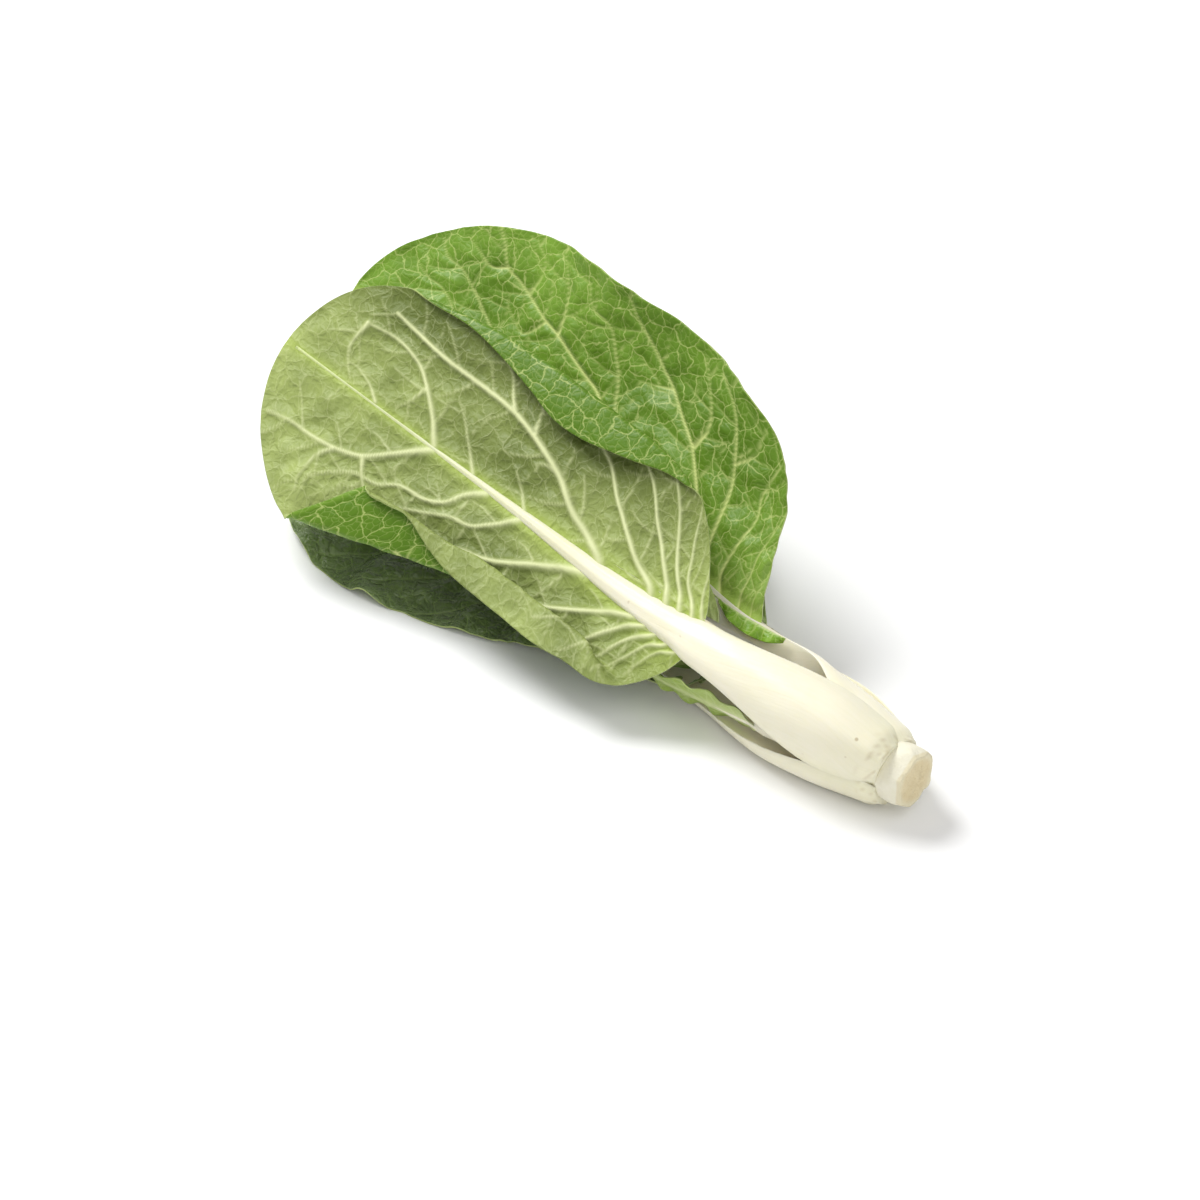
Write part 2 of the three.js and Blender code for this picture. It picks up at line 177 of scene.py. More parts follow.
def makeLeafPattern():
    # marks: red is the main veins, green painted shade, blue the pale tissue by the midrib
    group, given, result = newGroup("leafPattern", [
        ("Tissue", "NodeSocketColor", (0.3, 0.4, 0.15, 1)),
        ("Shade", "NodeSocketColor", (0.2, 0.3, 0.1, 1)),
        ("Vein", "NodeSocketColor", (0.7, 0.75, 0.45, 1)),
        ("Pale", "NodeSocketColor", (0.75, 0.78, 0.6, 1)),
        ("Net", "NodeSocketFloat", 0.4),
        ("Gloss", "NodeSocketFloat", 0.5),
    ], [("Color", "NodeSocketColor"), ("Height", "NodeSocketFloat"), ("Roughness", "NodeSocketFloat")])
    tree = group
    marks = addNode(tree, "ShaderNodeAttribute", attribute_name="marks")
    parts = addNode(tree, "ShaderNodeSeparateColor", {0: marks.outputs["Color"]})
    main, paintedShade, pale = parts.outputs[0], parts.outputs[1], parts.outputs[2]
    sheet = addNode(tree, "ShaderNodeUVMap", uv_map="sheet").outputs[0]
    place = addNode(tree, "ShaderNodeTexCoord").outputs["Object"]
    wobble = addNode(tree, "ShaderNodeTexNoise", {"Vector": sheet, "Scale": 16.0, "Detail": 3.0})
    bent = addNode(tree, "ShaderNodeVectorMath",
                   {0: wobble.outputs["Color"], 1: (0.06, 0.06, 0.0)}, operation="MULTIPLY")
    warped = addNode(tree, "ShaderNodeVectorMath", {0: sheet, 1: bent.outputs[0]}, operation="ADD").outputs[0]
    lines, cushion = cellNet(tree, warped, 15.0, 0.045)
    fine, small = cellNet(tree, warped, 38.0, 0.08)
    broad = ramped(tree, noiseValue(tree, place, 24.0, 3.0), 0.36, 0.66)
    patch = ramped(tree, noiseValue(tree, place, 95.0, 4.0, 0.6), 0.3, 0.75)
    grain = noiseValue(tree, sheet, 260.0, 2.0)
    # darker tissue: random tone from the noise, and painted shade from the green mark
    shade = calc(tree, "ADD", calc(tree, "MULTIPLY", broad, 0.5), calc(tree, "MULTIPLY", patch, 0.3))
    shade = calc(tree, "ADD", calc(tree, "MULTIPLY", shade, calc(tree, "SUBTRACT", 1.0, paintedShade)), paintedShade)
    tissue = mixColour(tree, shade, given.outputs["Tissue"], given.outputs["Shade"])
    between = calc(tree, "SUBTRACT", 1.0, main)
    thin = calc(tree, "ADD", calc(tree, "MULTIPLY", lines, 0.8), calc(tree, "MULTIPLY", fine, 0.3))
    thin = calc(tree, "MULTIPLY", calc(tree, "MULTIPLY", thin, given.outputs["Net"]), between)
    tissue = mixColour(tree, thin, tissue, given.outputs["Vein"])
    tissue = mixColour(tree, pale, tissue, given.outputs["Pale"])
    tissue = mixColour(tree, main, tissue, given.outputs["Vein"])
    tree.links.new(tissue, result.inputs["Color"])
    height = calc(tree, "ADD", calc(tree, "MULTIPLY", cushion, -0.75), calc(tree, "MULTIPLY", small, -0.3))
    height = calc(tree, "MULTIPLY", height, between)
    height = calc(tree, "ADD", height, calc(tree, "MULTIPLY", grain, 0.15))
    tree.links.new(height, result.inputs["Height"])
    rough = calc(tree, "ADD", given.outputs["Gloss"], calc(tree, "MULTIPLY", patch, 0.12))
    tree.links.new(rough, result.inputs["Roughness"])
    return group


leafPattern = makeLeafPattern()


def leafMaterial(name, tissue, shade, vein, pale, net, gloss, bump, shine):
    material = bpy.data.materials.new(name)
    material.use_nodes = True
    tree = material.node_tree
    skin = tree.nodes["Principled BSDF"]
    pattern = addNode(tree, "ShaderNodeGroup", node_tree=leafPattern)
    values = {"Tissue": tissue, "Shade": shade, "Vein": vein, "Pale": pale}
    for label, colour in values.items():
        pattern.inputs[label].default_value = (*colour, 1.0)
    pattern.inputs["Net"].default_value = net
    pattern.inputs["Gloss"].default_value = gloss
    relief = addNode(tree, "ShaderNodeBump", {"Height": pattern.outputs["Height"]})
    relief.inputs["Strength"].default_value = 0.8
    relief.inputs["Distance"].default_value = bump
    tree.links.new(pattern.outputs["Color"], skin.inputs["Base Color"])
    tree.links.new(pattern.outputs["Roughness"], skin.inputs["Roughness"])
    tree.links.new(relief.outputs["Normal"], skin.inputs["Normal"])
    skin.inputs["Specular IOR Level"].default_value = shine
    return material


leafBack = leafMaterial("leafBack", (0.36, 0.435, 0.13), (0.10, 0.135, 0.022), (0.64, 0.68, 0.36),
                        (0.36, 0.46, 0.09), net=0.2, gloss=0.46, bump=0.0005, shine=0.3)
leafFace = leafMaterial("leafFace", (0.165, 0.30, 0.03), (0.075, 0.16, 0.008), (0.66, 0.72, 0.27),
                        (0.36, 0.50, 0.10), net=0.42, gloss=0.36, bump=-0.00024, shine=0.22)
deepBack = leafMaterial("deepBack", (0.26, 0.34, 0.09), (0.15, 0.2, 0.045), (0.46, 0.53, 0.24),
                        (0.4, 0.5, 0.16), net=0.28, gloss=0.42, bump=0.0005, shine=0.35)
deepFace = leafMaterial("deepFace", (0.15, 0.215, 0.07), (0.065, 0.105, 0.03), (0.28, 0.38, 0.13),
                        (0.3, 0.4, 0.12), net=0.4, gloss=0.22, bump=-0.0011, shine=0.45)
leafRim = leafMaterial("leafRim", (0.40, 0.48, 0.17), (0.30, 0.38, 0.11), (0.5, 0.58, 0.27),
                       (0.6, 0.66, 0.38), net=0.0, gloss=0.5, bump=0.0002, shine=0.3)
youngBack = leafMaterial("youngBack", (0.36, 0.47, 0.10), (0.24, 0.36, 0.05), (0.62, 0.70, 0.34),
                         (0.60, 0.66, 0.32), net=0.3, gloss=0.42, bump=0.0004, shine=0.35)
youngFace = leafMaterial("youngFace", (0.19, 0.35, 0.02), (0.10, 0.24, 0.01), (0.5, 0.6, 0.2),
                         (0.52, 0.62, 0.26), net=0.4, gloss=0.34, bump=-0.0003, shine=0.3)


def makeStalkPattern():
    group, given, result = newGroup("stalkPattern", [
        ("Flesh", "NodeSocketColor", (0.85, 0.83, 0.7, 1)),
        ("Green", "NodeSocketColor", (0.72, 0.75, 0.48, 1)),
        ("Speck", "NodeSocketColor", (0.35, 0.24, 0.1, 1)),
        ("Tip", "NodeSocketColor", (0.5, 0.6, 0.25, 1)),
    ], [("Color", "NodeSocketColor"), ("Height", "NodeSocketFloat"), ("Roughness", "NodeSocketFloat")])
    tree = group
    sheet = addNode(tree, "ShaderNodeUVMap", uv_map="sheet").outputs[0]
    place = addNode(tree, "ShaderNodeTexCoord").outputs["Object"]
    marks = addNode(tree, "ShaderNodeAttribute", attribute_name="marks")
    parts = addNode(tree, "ShaderNodeSeparateColor", {0: marks.outputs["Color"]})
    long = addNode(tree, "ShaderNodeMapping", {"Vector": sheet, "Scale": (60.0, 3.0, 1.0)}).outputs[0]
    streak = noiseValue(tree, long, 2.2, 4.0, 0.6)
    cloud = noiseValue(tree, place, 45.0, 4.0, 0.55)
    greenish = calc(tree, "MULTIPLY", ramped(tree, streak, 0.42, 0.75), 0.14)
    greenish = calc(tree, "ADD", greenish, calc(tree, "MULTIPLY", ramped(tree, cloud, 0.4, 0.75), 0.2))
    greenish = calc(tree, "ADD", greenish, parts.outputs[0])
    flesh = mixColour(tree, greenish, given.outputs["Flesh"], given.outputs["Green"])
    dots = addNode(tree, "ShaderNodeTexVoronoi", {"Vector": place, "Scale": 240.0, "Randomness": 1.0})
    chosen = noiseValue(tree, place, 60.0, 2.0)
    dot = calc(tree, "MULTIPLY", ramped(tree, dots.outputs["Distance"], 0.10, 0.2, 1.0, 0.0),
               ramped(tree, chosen, 0.64, 0.68))
    flesh = mixColour(tree, calc(tree, "MULTIPLY", dot, 0.6), flesh, given.outputs["Speck"])
    flesh = mixColour(tree, parts.outputs[1], flesh, given.outputs["Speck"])
    flesh = mixColour(tree, parts.outputs[2], flesh, given.outputs["Tip"])
    tree.links.new(flesh, result.inputs["Color"])
    fibres = calc(tree, "ADD", calc(tree, "MULTIPLY", streak, 0.6), calc(tree, "MULTIPLY", cloud, 0.4))
    tree.links.new(fibres, result.inputs["Height"])
    tree.links.new(ramped(tree, cloud, 0.3, 0.7, 0.33, 0.46), result.inputs["Roughness"])
    return group


stalkPattern = makeStalkPattern()


def fleshMaterial(name, flesh, green, speck, tip, bump):
    material = bpy.data.materials.new(name)
    material.use_nodes = True
    tree = material.node_tree
    skin = tree.nodes["Principled BSDF"]
    pattern = addNode(tree, "ShaderNodeGroup", node_tree=stalkPattern)
    for label, colour in {"Flesh": flesh, "Green": green, "Speck": speck, "Tip": tip}.items():
        pattern.inputs[label].default_value = (*colour, 1.0)
    relief = addNode(tree, "ShaderNodeBump", {"Height": pattern.outputs["Height"]})
    relief.inputs["Strength"].default_value = 0.35
    relief.inputs["Distance"].default_value = bump
    tree.links.new(pattern.outputs["Color"], skin.inputs["Base Color"])
    tree.links.new(pattern.outputs["Roughness"], skin.inputs["Roughness"])
    tree.links.new(relief.outputs["Normal"], skin.inputs["Normal"])
    skin.inputs["Subsurface Weight"].default_value = 0.25
    skin.inputs["Subsurface Radius"].default_value = (1.0, 0.9, 0.6)
    skin.inputs["Subsurface Scale"].default_value = 0.004
    skin.inputs["Specular IOR Level"].default_value = 0.4
    return material


stalkSkin = fleshMaterial("stalkSkin", (0.86, 0.82, 0.66), (0.70, 0.68, 0.38), (0.40, 0.29, 0.13),
                          (0.46, 0.55, 0.19), 0.0007)
print("materials made")


# Leaves. Distances run from the cut face: along the head, across it (+ is the far side) and up from the
# stem's axis. Widths, lobes and cups are given for the right side, then the left, seen from the back.

bladeHalf = 0.4         # half the thickness of the part's blades
skinThickness = 0.55    # the blades' thickness in this scene
midribGap = 0.5
settle = 1.5
foldRadius = 1.7
foldStart = 2.5         # the margin that stands past a fold before it lies over in full

leafFront = {
    "node": "leaf_front", "slot": "blade",
    "path": [(9, -6, 7), (62, -9, 17), (118, -5, 20), (172, 0, 27), (228, 4, 35), (288, 8, 43.5)],
    "outBase": (0, -0.62, 0.78), "outBlade": (0.1, -0.64, 0.76),
    "foot": 0.3, "stalkHalf": (12.4, 14.4, 8.2, 0.8), "stalkThick": (7, 10, 6.5, 0.9), "wrap": 9,
    "width": (57, 57), "widest": 0.55, "fullness": 2.1, "cup": (14, 10),
    "waveHeight": 1.6, "waves": 4.5, "wavePhase": 0.6,
    "lobes": (
        [(0, 0.75), (0.035, 0.84), (0.1, 1.01), (0.182, 1.08), (0.27, 1.13), (0.352, 1.15), (0.42, 1.165),
         (0.486, 1.145), (0.55, 1.075), (0.637, 1), (0.748, 0.93), (0.833, 0.965), (0.889, 1.01), (1, 1.15)],
        [(0, 0.85), (0.085, 0.9), (0.17, 0.94), (0.333, 0.93), (0.446, 0.93), (0.55, 0.965), (0.6, 1.02),
         (0.65, 1.13), (0.68, 1.2), (0.7, 1.225), (0.72, 1.2), (0.75, 1.136), (0.8, 1.07), (0.839, 1.08),
         (1, 1.06)],
    ),
    "rightFold": {
        "at": [(0, 44), (0.1, 45), (0.189, 47.5), (0.266, 49), (0.553, 49.2), (0.727, 47.3), (0.857, 44),
               (1, 44)],
        "ease": 14, "angle": 158,
    },
    "pleat": {
        "first": [(0, 24), (0.15, 24.2), (0.25, 26), (0.333, 28), (0.435, 30), (0.49, 32.8), (0.55, 36.1),
                  (0.6, 39.1), (0.693, 44.6), (0.8, 50.7), (1, 62)],
        "gap": [(0, 4.4), (0.15, 4.6), (0.25, 6.6), (0.333, 8.6), (0.435, 10.2), (0.49, 11.4), (0.55, 13.8),
                (0.6, 16.6), (0.65, 18.6), (0.693, 20), (0.8, 24), (1, 26)],
        "turn": 163,
    },
    "pucker": 0.5, "ruffle": 0.6, "ruffleReach": 5,
    # painted shade: darker spots on the blade, and a darker margin past its fold
    "shade": [(0, 0.42, 38, 0.32, 24, 0.95), (0, 0.8, 38, 0.26, 20, 1.0), (1, 0.45, 20, 0.22, 14, 0.65),
              (0, 0.5, 10, 0.2, 16, 0.75), (1, 0.62, 32, 0.1, 12, 0.5)],
    "foldShade": 0.75,
    "columns": 200, "rows": 240, "seed": 11,
    # each vein: its width where it leaves the midrib, and points along and across the blade, right positive
    "veins": [
        (2.8, [(51, 4), (62, 8.6), (71, 11.4), (85, 19.3), (101, 24.7), (113, 27.4), (123, 28), (134, 28),
               (148, 28.2), (165, 30), (172, 31)]),
        (1.0, [(113, 27.4), (118, 32), (123, 38), (129, 41)]),
        (0.8, [(101, 24.7), (104, 32), (106, 37)]),
        (0.8, [(85, 19.3), (91, 19.1), (95, 16.6)]),
        (2.2, [(27, 7), (37.5, 11.2), (48.7, 17.7), (61.5, 25.6), (71, 32.8), (78, 36)]),
        (1.9, [(20.5, 9), (29, 17), (40, 26.4), (50, 35.8), (58, 41)]),
        (1.6, [(14, 9), (22.6, 17.6), (30.7, 28.4), (39.5, 39), (46, 45)]),
        (1.3, [(8, 9), (15.4, 15.5), (20.6, 25), (25, 33), (28, 40)]),
        (1.0, [(3, 8), (7, 13), (10, 20), (12, 26)]),
        (1.6, [(132, 1), (137.6, 7.7), (146.8, 16), (155.7, 21.4), (167, 23.5), (179, 22)]),
        (0.8, [(179, 22), (180, 12.2), (177, 6.6), (172.5, 2)]),
        (0.7, [(146.8, 16), (149, 9), (152.5, 4)]),
        (0.8, [(112.8, 1), (118.4, 6.2), (126.4, 13.5), (134, 19.2)]),
        (0.8, [(87, 1), (93.2, 6.6), (99.6, 11.3)]),
        (0.7, [(160, 1), (166, 5), (173, 7)]),
        (1.9, [(131.6, -0.5), (137.2, -5.3), (144.4, -11.7), (151.3, -17), (161.3, -20.6), (171, -22),
               (181, -22.3), (190.5, -24.2)]),
        (0.9, [(151.3, -17), (148, -22), (143, -27), (139, -33)]),
        (0.8, [(161.3, -20.6), (165.3, -26), (166, -35.6), (163.7, -41.5)]),
        (1.5, [(104, -1.6), (110.4, -6.4), (114.4, -12.6), (122.4, -16.3), (132.4, -17.4), (141.6, -22.3),
               (150, -23.3), (158.5, -29), (164, -34.7)]),
        (1.4, [(87, -2), (94, -8.6), (100.8, -14), (109.2, -15.6), (118, -19.6), (127, -24), (136, -33)]),
        (2.7, [(52, -2), (63, -7), (72, -12), (83.5, -18.5), (92, -21.5), (99.6, -23.5), (108, -30),
               (118, -40)]),
        (2.0, [(25, -4), (35.5, -8.5), (44, -13.6), (52, -18), (66, -25), (80, -34), (92, -42)]),
        (1.6, [(20, -5), (27.4, -9.4), (32.7, -16), (37, -21.5), (46, -30), (56, -40)]),
        (1.3, [(15, -6), (22.2, -11), (26.2, -16.8), (28.2, -21.5), (34, -30), (40, -40)]),
        (1.1, [(9.5, -7), (15.8, -10.4), (20.2, -18), (23.4, -23), (26, -32)]),
        (0.9, [(4, -7), (10.6, -10.4), (14.2, -16), (17, -23)]),
    ],
}
leafRear = {
    "node": "leaf_rear", "slot": "blade",
    "path": [(9, 6, 4), (55, 12, 5), (98, 14, 15), (163, 32, 27), (226, 40, 37), (288, 45, 45)],
    "outBase": (0, 0.86, 0.5), "outBlade": (-0.12, 0.66, -0.74),
    "foot": 0.33, "stalkHalf": (12, 14, 7.5, 0.8), "stalkThick": (6, 8.5, 6, 0.9), "wrap": 8,
    "width": (46, 57), "widest": 0.5, "fullness": 2.7, "cup": (-10, -16),
    "waveHeight": 2.2, "waves": 3.5, "wavePhase": 2.1,
    "lobes": (
        [(0, 0.4), (0.1, 0.6), (0.25, 0.9), (0.4, 1), (1, 1)],
        [(0, 0.45), (0.04, 0.52), (0.08, 0.68), (0.15, 0.96), (0.25, 1.09), (0.4, 1.09), (0.55, 1.05),
         (0.7, 1.05), (0.85, 1.02), (1, 0.95)],
    ),
    "pucker": 0.3, "ruffle": 0.9, "ruffleReach": 7, "veinScale": 0.7,
    # painted shade: darker spots on the blade
    "shade": [(1, 0.3, 42, 0.14, 16, 0.8), (1, 0.45, 30, 0.1, 10, 0.6)],
    "columns": 200, "rows": 240, "seed": 23,
    "veins": [
        (2.2, [(84, -1), (94, -9), (103, -17), (110, -22), (117, -24), (124.4, -26.1), (134.7, -29.4),
               (143, -31), (153.4, -34.4), (160, -36.4), (165.7, -37.7), (171, -43.8), (177, -49)]),
        (1.0, [(134.7, -29.4), (137, -38.4), (141.5, -46.2), (145.3, -50), (150, -54)]),
        (0.9, [(165.7, -37.7), (171, -34.6), (177, -36.3), (183, -38)]),
        (0.8, [(153.4, -34.4), (153.4, -43.6), (155.5, -48), (162, -51.5)]),
        (0.8, [(142, -30), (144, -25.5), (147, -22), (152, -23.5), (160.6, -28.7)]),
        (2.2, [(46, -2), (52, -11), (58, -19), (62, -23.3), (68.7, -28.8), (72.5, -31.8), (81, -36),
               (89, -40.5), (95.5, -43.2), (104, -47.8), (112, -52), (118, -57)]),
        (1.2, [(71.3, -32), (71.3, -40), (75, -46.3), (81.5, -53), (86, -58)]),
        (0.8, [(89, -40.5), (94.7, -37.5), (100, -35)]),
        (2.0, [(34, -2), (41, -9), (45.3, -16), (48.7, -23.8), (51.7, -30.8), (56.8, -38.6), (62.3, -46),
               (68.7, -53), (78, -58)]),
        (0.9, [(56.8, -38.6), (53.4, -46.2), (56, -56)]),
        (1.7, [(24, -2), (30, -7), (33.4, -12), (36, -22.3), (37.7, -31.6), (42.3, -38), (43.6, -47),
               (43, -54)]),
        (1.3, [(14, -2), (19, -9), (22.3, -17), (25.7, -23.7), (27.4, -32.8), (30, -41)]),
        (1.0, [(6, -2), (10, -7), (13, -12), (14, -18)]),
        (1.5, [(80, -2), (92, -13), (101, -22), (107, -31), (113, -37.4), (119.3, -43.7), (128.7, -45.4),
               (134, -52)]),
        (1.5, [(128, -1), (142, -9), (155, -15), (163.2, -19.3), (169.5, -22.7), (180, -27.6), (188.7, -28.5),
               (194, -33)]),
        (1.1, [(152, -1), (168, -10), (182.3, -18), (191, -18.4), (198, -21)]),
        (1.8, [(24, 3), (38, 12), (52, 20), (70, 28), (90, 33), (104, 38)]),
        (1.6, [(58, 2), (74, 12), (92, 20), (112, 27), (130, 36)]),
        (1.5, [(92, 2), (108, 11), (128, 18), (146, 25), (158, 34)]),
        (1.3, [(128, 1), (144, 9), (162, 15), (180, 20)]),
    ],
}
leafFar = {
    "node": "leaf_far", "slot": "blade",
    "path": [(9, 7, -6), (55, 18, -6), (100, 31, -4), (155, 43, -2), (210, 51, -2), (262, 55, -4)],
    "outBase": (0, 0.72, -0.7), "outBlade": (0, 0.24, -0.97),
    "foot": 0.36, "stalkHalf": (12, 14, 7.5, 0.8), "stalkThick": (6, 8.5, 6, 0.9), "wrap": 7,
    "width": (25, 42), "widest": 0.52, "fullness": 2.4, "cup": (-4, -24),
    "waveHeight": 2.4, "waves": 4, "wavePhase": 0.4,
    "lobes": ([(0, 1), (1, 1)], [(0, 0.35), (0.15, 0.65), (0.35, 0.95), (0.5, 1), (1, 1)]),
    "pucker": 0.8, "ruffle": 1.5, "ruffleReach": 9,
    "columns": 140, "rows": 180, "seed": 37,
}
leafUnder = {
    "node": "leaf_under", "slot": "blade",
    "path": [(9, -4, -7), (58, -2, -9), (100, 3, -9.5), (158, 5, -11), (218, 4, -12), (277, 0, -10)],
    "outBase": (0, -0.3, -0.95), "outBlade": (0, 0.02, -1),
    "foot": 0.38, "stalkHalf": (12, 15, 7.5, 0.8), "stalkThick": (6, 8, 5.5, 0.9), "wrap": 7,
    "width": (38, 29), "widest": 0.52, "fullness": 2.4, "cup": (24, 24),
    "waveHeight": 2.2, "waves": 5, "wavePhase": 1.2,
    "lobes": (
        [(0, 0.4), (0.06, 0.38), (0.15, 0.44), (0.25, 0.5), (0.34, 0.58), (0.46, 0.73), (0.57, 0.86),
         (0.69, 0.95), (0.8, 1.02), (0.88, 1.03), (1, 1)],
        [(0, 1), (1, 1)],
    ),
    "pucker": 1.5, "ruffle": 3.4, "ruffleReach": 16,
    "columns": 150, "rows": 190, "seed": 41,
}
leafInnerUpper = {
    "node": "leaf_inner_upper", "slot": "inner_blade",
    "path": [(14, -1, 5), (50, -1, 8), (90, 1, 11), (135, 5, 16.5), (180, 9, 22.5), (222, 13, 28)],
    "outBase": (0, -0.5, 0.86), "outBlade": (0, -0.6, 0.8),
    "foot": 0.4, "stalkHalf": (6, 8, 5, 0.7), "stalkThick": (4, 5, 4, 0.9), "wrap": 3,
    "width": (26, 26), "widest": 0.52, "fullness": 2.3, "cup": (-20, -20),
    "waveHeight": 1.5, "waves": 3.5, "wavePhase": 0,
    "pucker": 0.5, "ruffle": 1.0, "ruffleReach": 6,
    "columns": 90, "rows": 120, "seed": 53,
}
leafInnerLower = {
    "node": "leaf_inner_lower", "slot": "inner_blade",
    "path": [(14, 2, -1), (48, 5, -2), (88, 12, -1), (130, 17, 1), (172, 20, 2), (206, 22, 2)],
    "outBase": (0, 0.4, -0.92), "outBlade": (0, 0.4, -0.92),
    "foot": 0.42, "stalkHalf": (6, 8, 5, 0.7), "stalkThick": (4, 5, 4, 0.9), "wrap": 3,
    "width": (24, 24), "widest": 0.52, "fullness": 2.3, "cup": (30, 20),
    "waveHeight": 1.5, "waves": 3.5, "wavePhase": 1,
    "pucker": 0.6, "ruffle": 1.2, "ruffleReach": 6,
    "columns": 90, "rows": 120, "seed": 61,
}
leafHeart = {
    "node": "leaf_heart", "slot": "inner_blade",
    "path": [(15, -4, 0), (38, -7, 0), (60, -10, 0), (80, -11, -0.4), (98, -12, -0.6), (112, -12, -0.4)],
    "outBase": (0, -0.9, -0.3), "outBlade": (0, -0.85, -0.5),
    "foot": 0.4, "stalkHalf": (3, 4.5, 3, 0.6), "stalkThick": (3, 3.5, 2.6, 0.8), "wrap": 1,
    "width": (9, 10), "widest": 0.5, "fullness": 2.2, "cup": (-250, -200),
    "waveHeight": 1.2, "waves": 4.5, "wavePhase": 2,
    "pucker": 0.2, "ruffle": 0.6, "ruffleReach": 3,
    "columns": 70, "rows": 90, "seed": 71,
}


def through(pairs, x):
    # a smooth curve through (x, y) pairs
    xs, ys = np.array(pairs, float).T
    x = np.clip(x, xs[0], xs[-1])
    slope = np.empty(len(xs))
    slope[1:-1] = (ys[2:] - ys[:-2]) / (xs[2:] - xs[:-2])
    slope[0], slope[-1] = (ys[1] - ys[0]) / (xs[1] - xs[0]), (ys[-1] - ys[-2]) / (xs[-1] - xs[-2])
    i = np.clip(np.searchsorted(xs, x, side="right") - 1, 0, len(xs) - 2)
    span = xs[i + 1] - xs[i]
    t = (x - xs[i]) / span
    low = (1 + 2 * t) * (1 - t) ** 2 * ys[i] + t * (1 - t) ** 2 * span * slope[i]
    return low + t * t * (3 - 2 * t) * ys[i + 1] + t * t * (t - 1) * span * slope[i + 1]


def lineAt(leaf, u):
    # the midrib's points with the directions out of the back of the leaf and to its right
    path = np.array(leaf["path"], float)
    path = np.column_stack([cutEndX - path[:, 0], stemY + path[:, 1], stemZ + path[:, 2]])
    path = np.vstack([2 * path[0] - path[1], path, 2 * path[-1] - path[-2]])

    def point(at):
        spot = np.clip(at, 0, 1) * (len(path) - 3)
        i = np.minimum(np.floor(spot).astype(int), len(path) - 4)
        w = (spot - i)[:, None]
        a, b, c, d = path[i], path[i + 1], path[i + 2], path[i + 3]
        slopeB, slopeC = (c - a) / 2, (d - b) / 2
        square = -3 * b + 3 * c - 2 * slopeB - slopeC
        cube = 2 * b - 2 * c + slopeB + slopeC
        return b + slopeB * w + square * w**2 + cube * w**3

    tangent = unit(point(u + 0.002) - point(u - 0.002))
    turn = smooth(u / (leaf["foot"] * 1.15))[:, None]
    out = mix(np.array(leaf["outBase"], float), np.array(leaf["outBlade"], float), turn)
    out = unit(out - tangent * np.sum(out * tangent, axis=1, keepdims=True))
    return point(u), tangent, out, unit(np.cross(tangent, out))


def alongStalk(leaf, key, u):
    base, bulge, foot, tip = leaf[key]
    bulgeAt = leaf["foot"] * 0.32
    low = mix(base, bulge, smooth(u / bulgeAt))
    middle = mix(bulge, foot, smooth((u - bulgeAt) / (leaf["foot"] - bulgeAt)))
    past = np.clip((u - leaf["foot"]) / (1 - leaf["foot"]), 0, 1)
    high = mix(foot, tip, 1 - (1 - past) ** 2.4)
    return np.where(u < bulgeAt, low, np.where(u < leaf["foot"], middle, high))


def halfWidth(leaf, side, v):
    widest = leaf["widest"]
    x = np.where(v < widest, (widest - v) / widest, (v - widest) / (1 - widest))
    oval = leaf["width"][side] * np.sqrt(np.maximum(0, 1 - x ** leaf["fullness"]))
    return oval * through(leaf["lobes"][side], v) if "lobes" in leaf else oval


def foldsOf(leaf, side, v):
    width = np.maximum(halfWidth(leaf, side, v), 0.001)
    if side == 0 and "rightFold" in leaf:
        fold = leaf["rightFold"]
        at = width / (1 + (width / through(fold["at"], v)) ** fold["ease"]) ** (1 / fold["ease"])
        return [(at, fold["angle"] * smooth((width - at) / foldStart))]
    if side == 1 and "pleat" in leaf:
        pleat = leaf["pleat"]
        first = through(pleat["first"], v)
        second = first + through(pleat["gap"], v)
        turn = pleat["turn"] * smooth((v - 0.06) / 0.14)
        return [(np.minimum(first, 0.97 * width), turn * smooth((width - first) / foldStart)),
                (np.minimum(second, 0.97 * width), -turn * smooth((width - second) / foldStart))]
    return []


# Veins: the main ones are point lists, given or laid out by lateralsOf, and small branches are walked out
# from them. The finest net is in the leaf pattern.

def steadied(points):
    # a smooth line through the points, in steps of about 2 mm
    rows = np.array(points, float)
    reach = np.insert(np.cumsum(np.hypot(*np.diff(rows, axis=0).T)), 0, 0)
    at = np.linspace(0, reach[-1], max(4, int(reach[-1] / 2)))
    return np.column_stack([through(list(zip(reach, rows[:, k])), at) for k in (0, 1)])


def lateralsOf(leaf, length):
    # laterals for a leaf whose veins aren't given, each as a short list of points
    rng = np.random.default_rng(leaf["seed"])
    lines = []
    for sign in (1, -1):
        reach = leaf["width"][0 if sign == 1 else 1] * 1.5
        starts = np.linspace(0.02, 0.84, 8) ** 1.15 * length + rng.uniform(-3, 3, 8)
        for i, start in enumerate(starts):
            points = [(max(1, start), 0)]
            for k in range(6):
                angle = mix(mix(72, 48, i / 7), mix(50, 14, i / 7), k / 5) + rng.normal(0, 4)
                heading = angle * degree
                x, y = points[-1]
                points.append((x + reach / 6 * math.cos(heading), y + sign * reach / 6 * math.sin(heading)))
            lines.append((mix(1.7, 1.0, i / 7) * reach / 60, points))
    return lines


